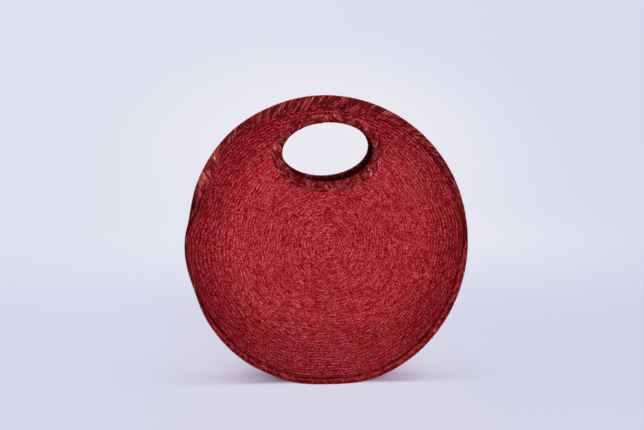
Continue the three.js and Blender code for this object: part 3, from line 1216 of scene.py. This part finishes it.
@dataclass
class FoldedPlait:
    """A flat plait folded over an edge of a disc, its strands crossing over and under each other.

    Each kind sets its names, its plies, its length, what it grips, its full width on one side and its
    finish. Outside is -1 where the normal of the sheet points into the bag.
    """

    form: BagForm
    half: Half
    kit: Kit
    seed: int
    title: str = field(init=False)
    thread_title: str = field(init=False)
    plies: int = field(init=False)
    length: float = field(init=False)
    grip: float = field(init=False)
    full_leg: float = field(init=False)
    finish: Material = field(init=False)
    closed: bool = False
    step: float = 0.0016
    section_points: int = 8
    strand: float = 0.0010
    halves: bool = False
    fill: float = 0.93
    corner: float = 0.97
    uneven: float = 0.0022
    uneven_run: float = 0.022
    end_run: float = 0.01
    hug: float = 0.0010
    loose: float = 0.0
    crossing: float = 0.55
    weave: float = 2.5
    half_weave: float = 1.5
    calm_edge: float = 0.4
    wobble: float = 0.00012
    swell: float = 0.05
    run: float = 0.02
    dye: tuple[Pair, ...] = ((0.3, 0.035), (0.5, 0.005))
    worn: float = 0.0
    worn_base: float = 0.4
    worn_run: float = 0.004
    painted_inner_shade: float = 0.8
    outside: float = -1.0
    crest: float = 0.0
    stitch_seed: int = 7
    stitch_gap: float = 0.0075
    stitch_length: float = 0.0052
    stitch_margin: float = 0.0028
    stitch_drift: Pair = (0.15, 0.0004)
    stitch_lift: float = 1.1
    stitch_uneven: float = 0.3
    thread: float = 0.0007
    sunk: float = 0.6
    hidden: float = 0.3

    def sheet(self, inward: Array, along: Array) -> Array:
        """Points of what is gripped, by the distance in from the fold and the length along the edge."""
        raise NotImplementedError

    def leg(self, along: Array) -> Array:
        """Width that shows on one side."""
        return np.full_like(along, self.full_leg)

    def worn_at(self, along: Array) -> Array:
        """Dye lost to handling."""
        return np.full_like(along, self.worn)

    def covered(self, along: Array) -> Array:
        """How far a bulge of the disc covers the outer side."""
        return np.zeros_like(along)

    @property
    def bend(self) -> float:
        """Radius of the fold at the middle of the plait."""
        return self.grip / 2 + self.form.fit + self.form.plait / 2

    @property
    def crown(self) -> float:
        """Radius of the disc at the middle of the fold."""
        return self.form.radius - self.form.plait / 2 - self.bend + self.loose

    @property
    def full_band(self) -> float:
        """Width of the whole plait, laid flat, at its full width."""
        return float(self.band(np.array([self.full_leg]))[0])

    def band(self, leg: Array) -> Array:
        """Width of the whole plait, laid flat, for the width that shows on one side."""
        return 2 * np.maximum(leg - self.form.plait / 2 - self.bend, 0.0) + math.pi * self.bend

    def folded(self, along: Array, out: Array) -> tuple[Array, Array]:
        """Points in the middle of the plait.

        Args:
            along: Length along the edge.
            out: Distance from the fold, measured on the plait, positive on the outer side.

        Returns:
            Points and the direction that the plait faces there.
        """
        flat = np.maximum(np.abs(out) - self.bend * math.pi / 2, 0.0)
        base = self.sheet(flat, along)
        normal = self.outside * facing_of(self.sheet, flat, along, (INWARD_STEP, EDGE_STEP))
        ahead = unit(base - self.sheet(flat + INWARD_STEP, along))
        turn = np.clip(out / self.bend, -math.pi / 2, math.pi / 2)
        facing = np.sin(turn)[:, None] * normal + np.cos(turn)[:, None] * ahead
        reach = self.full_leg - self.form.plait / 2 - self.bend
        stand = self.bend - self.hug * smooth(flat / reach)
        return base + stand[:, None] * facing, facing

    def spacing(self) -> float:
        """Distance between neighbour strands along the edge, so that a closed plait meets itself."""
        wanted = self.full_band / self.plies
        return self.length / max(round(self.length / wanted), 1) if self.closed else wanted

    def build(self) -> Piece:
        """Lays every strand of the plait and sweeps it.

        Returns:
            The finished piece, not yet riding on a body.
        """
        rng = np.random.default_rng(self.seed)
        spacing = self.spacing()
        along = np.linspace(0.0, self.length, int(self.length / self.step) + 1)
        width = self.band(self.leg(along))
        slope = width / self.full_band
        cover = slope * np.sqrt(2.0 / (1.0 + slope**2))
        ends = smooth(np.minimum(along, self.length - along) / self.end_run)
        uneven = along + self.uneven * ends * wander(along, self.uneven_run, rng)
        paths = PathSet()
        for strand in range(2 * self.plies):
            phase = math.pi * (uneven / spacing - strand) / self.plies - math.pi / 2
            swing = np.arcsin(self.corner * np.sin(phase)) / math.asin(self.corner)
            ply = swing * self.plies / 2
            rising = np.where(np.cos(phase) > 0.0, 1.0, -1.0)
            turned = self.half_weave * ply if self.halves else self.weave * np.cos(math.pi * ply)
            over = np.tanh(turned)
            calm = np.sqrt(np.clip((self.plies / 2 - np.abs(ply)) / self.calm_edge, 0.0, 1.0))
            out = self.outside * swing * width / 2
            points, facing = self.folded(along, out)
            lift = rising * over * calm * self.strand * self.crossing
            lift += self.wobble * wander(along, self.run, rng)
            girth = cover * (1.0 + self.swell * wander(along, self.run, rng))
            tint = uneven_dye(along, self.dye, rng) + self.crest * (0.5 - np.abs(swing))
            tint = tint + self.worn_at(along) * (self.worn_base + wander(along, self.worn_run, rng))
            # Painted shade on the leg that lies inside the bag
            painted_shade = self.painted_inner_shade * smooth(-out / (self.full_leg / 2))
            paths.add(points + facing * lift[:, None], facing, girth, tint, painted_shade)
        return self.kit.sweep.make(
            paths.object(self.half.node(f"{self.title}_plait")),
            {
                "Width": self.fill * self.full_band / self.plies / math.sqrt(2),
                "Thickness": self.strand,
                "Section Points": self.section_points,
                "Finish": self.finish,
            },
        )

    def stitches(self) -> Piece:
        """Sews a line of stitches near each free edge of the plait, apart from where a bulge covers it.

        Returns:
            The finished piece, not yet riding on a body.
        """
        rng = np.random.default_rng(self.seed + self.stitch_seed)
        count = int(self.length / self.stitch_gap)
        drift, sway = (rng.uniform(-most, most, count) for most in self.stitch_drift)
        along = (np.arange(count) + 0.5 + drift) * self.length / count
        reach = self.band(self.leg(along)) / 2 - self.stitch_margin + sway
        lift = self.strand * self.stitch_lift + self.thread * (0.5 - self.sunk)
        seen = self.covered(along) < self.hidden
        sides = []
        for side, kept in ((1.0, seen), (-1.0, np.ones_like(seen))):
            points, facing = self.folded(along[kept], side * reach[kept])
            ahead, _ = self.folded(along[kept] + EDGE_STEP, side * reach[kept])
            sides.append((points + facing * lift, unit(ahead - points), facing))
        spots, heading, facing = map(np.concatenate, zip(*sides))
        name = self.half.node(f"{self.thread_title}_stitches")
        return self.kit.stitch.make(
            add_points(name, spots, [], {"heading": heading, "facing": facing}),
            {
                "Length": self.stitch_length,
                "Thread": self.thread,
                "Unevenness": self.stitch_uneven,
                "Seed": self.seed,
                "Finish": self.kit.thread,
            },
        )


@dataclass
class MouthPlait(FoldedPlait):
    """The wide plait over the free rim.

    Stretches are shares of its length, which runs from the disc's right, seen from outside, to its left.
    """

    title: str = "mouth"
    thread_title: str = "mouth"
    plies: int = 8
    halves: bool = True
    loose: float = 0.0008
    crest: float = 0.25
    thread: float = 0.0009
    worn: float = 0.6
    worn_at_share: float = 0.9
    worn_spread: float = 0.06
    lap: float = math.radians(2.0)
    end_width: float = 0.45
    end_stretches: Pair = (0.16, 0.11)
    right_stretch: Pair = (0.18, 0.40)
    neck_at: float = 0.765
    neck_spread: float = 0.07

    def __post_init__(self) -> None:
        """Takes its sizes from the form."""
        self.start = self.form.fold_angle - self.lap
        self.length = (2 * math.pi - 2 * self.start) * self.form.radius
        self.grip, self.full_leg, self.finish = self.form.straw, self.form.mouth_leg, self.kit.binding
        self.right_width, self.neck = MOUTH_WEAR[self.half]

    def sheet(self, inward: Array, along: Array) -> Array:
        """Middle of the free rim."""
        return self.form.sheet(self.half, self.crown - inward, self.start + along / self.form.radius)

    def leg(self, along: Array) -> Array:
        """Width that shows: full at the top, less on the right and at the ends, drawn in on the left.

        Args:
            along: Length along the rim.

        Returns:
            The width at each length.
        """
        share = along / self.length
        first, last = self.end_stretches
        ends = smooth(np.minimum(share / first, (1.0 - share) / last))
        right = self.right_width + (1.0 - self.right_width) * ease(share, *self.right_stretch)
        left = 1.0 - self.neck * hill((share - self.neck_at) / self.neck_spread)
        return self.full_leg * (self.end_width + (1.0 - self.end_width) * ends) * right * left

    def worn_at(self, along: Array) -> Array:
        """Dye lost to handling, most on one side."""
        return self.worn * hill((along / self.length - self.worn_at_share) / self.worn_spread)


@dataclass
class EdgePlait(FoldedPlait):
    """The narrow plait over the seam with the gusset."""

    title: str = "edge"
    thread_title: str = "seam"
    plies: int = 6
    strand: float = 0.0008
    hug: float = 0.0006
    stitch_margin: float = 0.0016
    lap: float = math.radians(1.5)

    def __post_init__(self) -> None:
        """Takes its sizes from the form."""
        form = self.form
        self.end = form.fold_angle + self.lap
        self.length = 2 * self.end * form.radius
        self.grip, self.full_leg, self.finish = 2 * form.straw + form.fit, form.edge_leg, self.kit.edge

    def sheet(self, inward: Array, along: Array) -> Array:
        """Middle of the two flat rims that are sewn together."""
        behind = (self.form.straw + self.form.fit) / 2
        return self.form.sheet(self.half, self.crown - inward, along / self.form.radius - self.end, behind)

    def covered(self, along: Array) -> Array:
        """Share of the bulge that hangs over the seam."""
        return marks_at(SLACK[self.half].bellies, along / self.form.radius - self.end)


@dataclass
class HolePlait(FoldedPlait):
    """The plait round the hand hole."""

    title: str = "hole"
    thread_title: str = "hole"
    plies: int = 7
    closed: bool = True
    step: float = 0.0014
    strand: float = 0.0009
    uneven: float = 0.0032
    outside: float = 1.0
    worn: float = 0.12
    sunk: float = 0.85
    ring_points: int = 721
    narrowing: float = 0.0025
    narrow_power: int = 4

    def __post_init__(self) -> None:
        """Takes its sizes from the form."""
        self.turns = np.linspace(0.0, 2 * math.pi, self.ring_points)
        self.lengths = run_lengths(self.ring(self.turns))
        self.length = float(self.lengths[-1])
        self.grip, self.full_leg, self.finish = self.form.straw, self.form.hole_leg, self.kit.binding

    def ring(self, angle: Array) -> Array:
        """Points of the cut edge, before it is tilted."""
        across, up = self.form.hole_axes()
        return np.stack([across * np.cos(angle), up * np.sin(angle)], axis=-1)

    def around(self, along: Array) -> Array:
        """Angle round the hole at a length along its edge."""
        return np.interp(along % self.length, self.lengths, self.turns)

    def sheet(self, inward: Array, along: Array) -> Array:
        """Middle of the straw round the hole.

        Args:
            inward: Distance from the fold into the straw.
            along: Length along the edge.

        Returns:
            Points in the frame of the bag.
        """
        form = self.form
        across, up = form.hole_axes()
        angle = self.around(along)
        normal = unit(np.stack([np.cos(angle) / across, np.sin(angle) / up], axis=-1))
        crown = self.bend - form.plait / 2 - form.fit
        flat = self.ring(angle) + normal * (crown + inward)[:, None]
        turn, rise = form.hole_turn(self.half)
        x = (flat[:, 0] * turn - flat[:, 1] * rise) / form.squeeze
        z = flat[:, 0] * rise + flat[:, 1] * turn + form.hole_rise
        return form.sheet(self.half, np.hypot(x, z), np.arctan2(x, -z))

    def leg(self, along: Array) -> Array:
        """Width that shows: narrower where the hole comes close to the mouth."""
        upwards = np.maximum(np.sin(self.around(along)), 0.0)
        return self.full_leg - self.narrowing * upwards**self.narrow_power


@dataclass
class DiscBindings:
    """The three plaits that bind one disc, and the stitches that hold them."""

    form: BagForm
    half: Half
    kit: Kit
    fold: Fold
    seed: int

    def build(self) -> list[Piece]:
        """Makes the three plaits and their stitches.

        Returns:
            The finished pieces.
        """
        half = self.half
        made = []
        for number, kind in enumerate((MouthPlait, EdgePlait, HolePlait)):
            plait = kind(self.form, half, self.kit, self.seed + number)
            band = plait.build()
            sewn = plait.stitches()
            for piece in (band, sewn):
                if kind is HolePlait:
                    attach(piece, half.flap)
                else:
                    self.fold.bend(piece, half)
            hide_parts(half.node(f"{plait.title}_binding"))
            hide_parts(half.node(f"{plait.thread_title}_thread"))
            made += [band, sewn]
        return made


@dataclass
class Gusset:
    """The strip between the two discs: rows of plait that run round the foot."""

    form: BagForm
    kit: Kit
    seed: int
    rows: int = 21
    step: float = 0.003
    section_points: int = 8
    overlap: float = 1.16
    thickness: float = 0.0024
    short: float = math.radians(0.4)
    swell: float = 0.05
    swell_run: float = 0.012
    wobble: float = 0.0002
    wobble_run: float = 0.02
    # Painted shade over the whole gusset
    dark: float = 0.6

    def section(self, angle: Array) -> list[Array]:
        """Finds the corners of the strip.

        Args:
            angle: Angle from straight down of each section.

        Returns:
            Front flange, front corner, back corner and back flange at each angle.
        """
        form = self.form
        behind = form.straw + form.fit
        tip, web = (np.full_like(angle, edge - form.straw / 2) for edge in (form.rim, form.dish_rim))
        front = [form.sheet(Half.FRONT, radius, angle, behind) for radius in (tip, web)]
        return front + [form.sheet(Half.BACK, radius, -angle, behind) for radius in (web, tip)]

    def across(self, angle: Array, share: float) -> Array:
        """Finds points of the strip at a share of its width.

        Args:
            angle: Angle from straight down of each point.
            share: Share of the width, from the front flange to the back one.

        Returns:
            The points.
        """
        corners = self.section(angle)
        lengths = [np.linalg.norm(b - a, axis=1) for a, b in zip(corners, corners[1:])]
        left = share * sum(lengths)
        points = corners[0].copy()
        for corner, following, length in zip(corners, corners[1:], lengths):
            points += np.clip(left / length, 0.0, 1.0)[:, None] * (following - corner)
            left = left - length
        return points

    def build(self) -> Piece:
        """Lays the rows and sweeps the plait along them.

        Returns:
            The finished piece.
        """
        rng = np.random.default_rng(self.seed)
        form = self.form
        end = form.fold_angle - self.short
        angle = np.linspace(-end, end, int(2 * end * form.radius / self.step))
        pitch = (form.gusset_width + 2 * (form.rim - form.dish_rim)) / self.rows
        middle = np.array([0.0, 0.0, form.centre])
        paths = PathSet()
        for row in range(self.rows):
            shares = [(row + part) / self.rows for part in (0.0, 0.5, 1.0)]
            before, points, after = (self.across(angle, share) for share in shares)
            facing = unit(np.cross(unit(after - before), unit(np.gradient(points, axis=0))))
            inside = np.sum(facing * (points - middle), axis=1, keepdims=True) < 0.0
            facing = np.where(inside, -facing, facing)
            along = run_lengths(points)
            girth = np.linalg.norm(after - before, axis=1) / pitch
            girth = girth * (1.0 + self.swell * wander(along, self.swell_run, rng))
            tint = uneven_dye(along, ROW_DYE, rng)
            points = points + facing * (self.wobble * wander(along, self.wobble_run, rng))[:, None]
            # The whole gusset gets the same painted shade
            paths.add(points, facing, girth, tint, np.full_like(tint, self.dark))
        piece = self.kit.sweep.make(
            paths.object("gusset_rows"),
            {
                "Width": pitch * self.overlap,
                "Thickness": self.thickness,
                "Section Points": self.section_points,
                "Finish": self.kit.panel,
            },
        )
        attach(piece, SHELL)
        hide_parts("gusset")
        return piece


@dataclass(frozen=True)
class SoftBox:
    """One soft lamp."""

    name: str
    place: Spot
    aim: Spot
    size: Pair
    watts: float
    gloss: bool = True

    def build(self) -> None:
        """Hangs the lamp, out of sight, with or without a shine of its own on the straw."""
        data = bpy.data.lights.new(self.name, "AREA")
        data.shape = "RECTANGLE"
        data.size, data.size_y = self.size
        data.energy = self.watts
        lamp = add_object(self.name, data)
        lamp.visible_camera = False
        lamp.visible_glossy = self.gloss
        aim_object(lamp, self.place, self.aim)


@dataclass
class Studio:
    """Plain pale sweep, soft light and the camera."""

    camera_place: Spot = (-0.103, -1.60, 0.416)
    camera_aim: Spot = (-0.0065, -0.023, 0.2125)
    lens: float = 72.15
    sensor: float = 36.0
    floor_colour: Colour = linear(206, 207, 224)
    # Pink of the floor near the foot is painted bounce light from the bag
    painted_bounce_colour: Colour = linear(210, 192, 215)
    floor_light: Colour = linear(216, 213, 230)
    floor_left: Colour = linear(208, 218, 235)
    floor_right: Colour = linear(198, 210, 228)
    # Colour at the middle of the painted halo of light on the backdrop
    painted_halo_colour: Colour = linear(234, 233, 242)
    back_left: Colour = linear(222, 225, 237)
    back_right: Colour = linear(214, 219, 235)
    wall_colour: Colour = linear(217, 221, 236)
    paper_rough: float = 0.9
    paper_shine: float = 0.1
    floor_glow: float = 0.62
    foot_glow: float = 0.0
    foot_middle: float = 0.04
    foot_reach: Pair = (0.05, 0.15)
    foot_squeeze: float = 0.6
    bounce_reach: Pair = (0.05, 0.09)
    foot_front: Pair = (-0.008, -0.031)
    front_glow: float = 1.0
    front_reach: Pair = (0.15, 0.36)
    floor_reach: Pair = (0.7, 1.3)
    backdrop_reach: Pair = (0.2, 1.3)
    floor_spread: Pair = (0.08, 0.33)
    floor_side: Pair = (-0.3, 0.3)
    back_side: Pair = (-0.3, 1.4)
    halo_middle: Pair = (0.14, 0.13)
    halo_size: Pair = (0.155, 0.08)
    halo_reach: Pair = (1.0, 4.8)
    glow_fade: Pair = (-0.4, -1.2)
    room_reach: Pair = (1.4, 4.0)
    sweep_half_width: float = 5.0
    sweep_front: float = -4.0
    sweep_back: float = 1.6
    sweep_curve: float = 1.2
    sweep_corners: int = 25
    sweep_top: float = 4.0
    sky: Colour = linear(250, 206, 230)
    sky_strength: float = 0.24
    lamps: tuple[SoftBox, ...] = (
        SoftBox("key_lamp", (0.22, -2.1, 0.47), (0.0, 0.0, 0.18), (0.9, 0.86), 45.0),
        SoftBox("top_lamp", (0.0, -0.25, 2.2), (0.0, 0.0, 0.1), (2.4, 1.8), 36.0),
        SoftBox("left_back_lamp", (-0.6, 2.0, 0.45), (0.0, 0.0, 0.2), (0.8, 0.8), 22.0, gloss=False),
        SoftBox("right_back_lamp", (0.6, 2.0, 0.45), (0.0, 0.0, 0.2), (0.8, 0.8), 22.0, gloss=False),
    )

    def build(self) -> None:
        """Sets up the sweep, the lamps, the sky and the camera."""
        self.build_sweep()
        for lamp in self.lamps:
            lamp.build()
        self.build_sky()
        self.build_camera()
        bpy.context.scene.view_settings.view_transform = "Standard"

    def build_sweep(self) -> None:
        """Lays the floor, which curves up into the backdrop."""
        profile = [(self.sweep_front, 0.0)]
        for turn in np.linspace(0.0, math.pi / 2, self.sweep_corners):
            y = self.sweep_back + self.sweep_curve * math.sin(turn)
            profile.append((y, self.sweep_curve * (1.0 - math.cos(turn))))
        profile.append((self.sweep_back + self.sweep_curve, self.sweep_top))
        wide = self.sweep_half_width
        spots = [(x, y, z) for y, z in profile for x in (-wide, wide)]
        faces = [(2 * i, 2 * i + 1, 2 * i + 3, 2 * i + 2) for i in range(len(profile) - 1)]
        mesh = bpy.data.meshes.new("studio_sweep")
        mesh.from_pydata(spots, [], faces)
        mesh.shade_smooth()
        sweep = add_object("studio_sweep", mesh)
        mesh.materials.append(self.paper())

    def paper(self) -> Material:
        """Pale paper that keeps the shadow on the floor and glows towards the back, with a painted pool of
        light on the backdrop and painted light that changes from left to right.

        Returns:
            The material.
        """
        material, bench, matt = new_material("pale_paper")
        x, y, z = bench.node("ShaderNodeSeparateXYZ", {0: bench.place()}).outputs
        away = bench.length(x, y)
        far = bench.math("MAXIMUM", bench.range(y, self.backdrop_reach), bench.range(away, self.room_reach))
        aside = bench.range(bench.math("ABSOLUTE", x), self.floor_spread)
        wide = bench.math("MAXIMUM", aside, bench.range(y, self.glow_fade))
        sides = bench.blend(bench.range(x, self.floor_side), self.floor_left, self.floor_right)
        floor = bench.blend(wide, self.floor_light, sides)
        # Painted light: a brighter halo on the backdrop, dimming outwards
        spread = [
            bench.math("DIVIDE", bench.math("SUBTRACT", axis, middle), size)
            for axis, middle, size in zip((x, z), self.halo_middle, self.halo_size)
        ]
        dim = bench.range(bench.length(*spread), self.halo_reach)
        sides = bench.blend(bench.range(x, self.back_side), self.back_left, self.back_right)
        back = bench.blend(dim, self.painted_halo_colour, sides)
        glow = bench.node("ShaderNodeEmission", {"Color": bench.blend(far, floor, back)})
        # Painted light: the floor turns pink near the foot, standing in for red light bounced off the bag
        ring = bench.length(bench.math("MULTIPLY", x, self.foot_squeeze), y)
        bounce_tinted = bench.blend(bench.range(ring, self.bounce_reach), self.painted_bounce_colour, self.floor_colour)
        surface = {"Roughness": self.paper_rough, "Specular IOR Level": self.paper_shine}
        bench.feed(matt, {"Base Color": bounce_tinted, **surface})
        foot = bench.length(x, bench.math("SUBTRACT", y, self.foot_middle))
        near = bench.range(foot, self.foot_reach, (self.foot_glow, self.floor_glow))
        front = bench.range(away, self.front_reach, (self.front_glow, self.floor_glow))
        front = bench.math("MULTIPLY", bench.range(y, self.foot_front), front)
        off = bench.math("MAXIMUM", far, bench.range(away, self.floor_reach))
        share = bench.range(off, (0.0, 1.0), (bench.math("MAXIMUM", near, front), 1.0))
        seen = bench.math("MULTIPLY", bench.looked_at(), share)
        mixed = bench.node("ShaderNodeMixShader", {"Fac": seen, 1: matt, 2: glow})
        bench.feed(bench.tree.nodes["Material Output"], {"Surface": mixed})
        return material

    def build_sky(self) -> None:
        """Fills the room with even light and closes it with a pale wall."""
        world = bpy.data.worlds.new("studio_sky")
        world.use_nodes = True
        bench = NodeBench(world.node_tree)
        sky = world.node_tree.nodes["Background"]
        bench.feed(sky, {"Color": self.sky, "Strength": self.sky_strength})
        pale = bench.node("ShaderNodeBackground", {"Color": self.wall_colour})
        mixed = bench.node("ShaderNodeMixShader", {"Fac": bench.looked_at(), 1: sky, 2: pale})
        bench.feed(world.node_tree.nodes["World Output"], {"Surface": mixed})
        bpy.context.scene.world = world

    def build_camera(self) -> None:
        """Sets up the camera."""
        data = bpy.data.cameras.new("camera")
        data.lens = self.lens
        data.sensor_width = self.sensor
        camera = add_object("camera", data)
        aim_object(camera, self.camera_place, self.camera_aim)
        bpy.context.scene.camera = camera


def report(piece: Piece) -> None:
    """Logs the name and the triangles of a finished piece."""
    piece.data.calc_loop_triangles()
    log.info("%s: %d triangles", piece.name, len(piece.data.loop_triangles))


def main() -> None:
    """Builds the bag and the studio."""
    logging.basicConfig(level=logging.INFO, format="%(name)s: %(message)s")
    form = BagForm()
    fold = Fold()
    kit = make_kit()
    Studio().build()
    for number, half in enumerate(Half):
        later = SEEDS_PER_HALF * number
        report(CoilPanel(form, half, kit, fold, seed=COIL_SEED + later).build())
        for piece in DiscBindings(form, half, kit, fold, seed=BINDING_SEED + later).build():
            report(piece)
    report(Gusset(form, kit, seed=GUSSET_SEED).build())


if __name__ == "__main__":
    main()
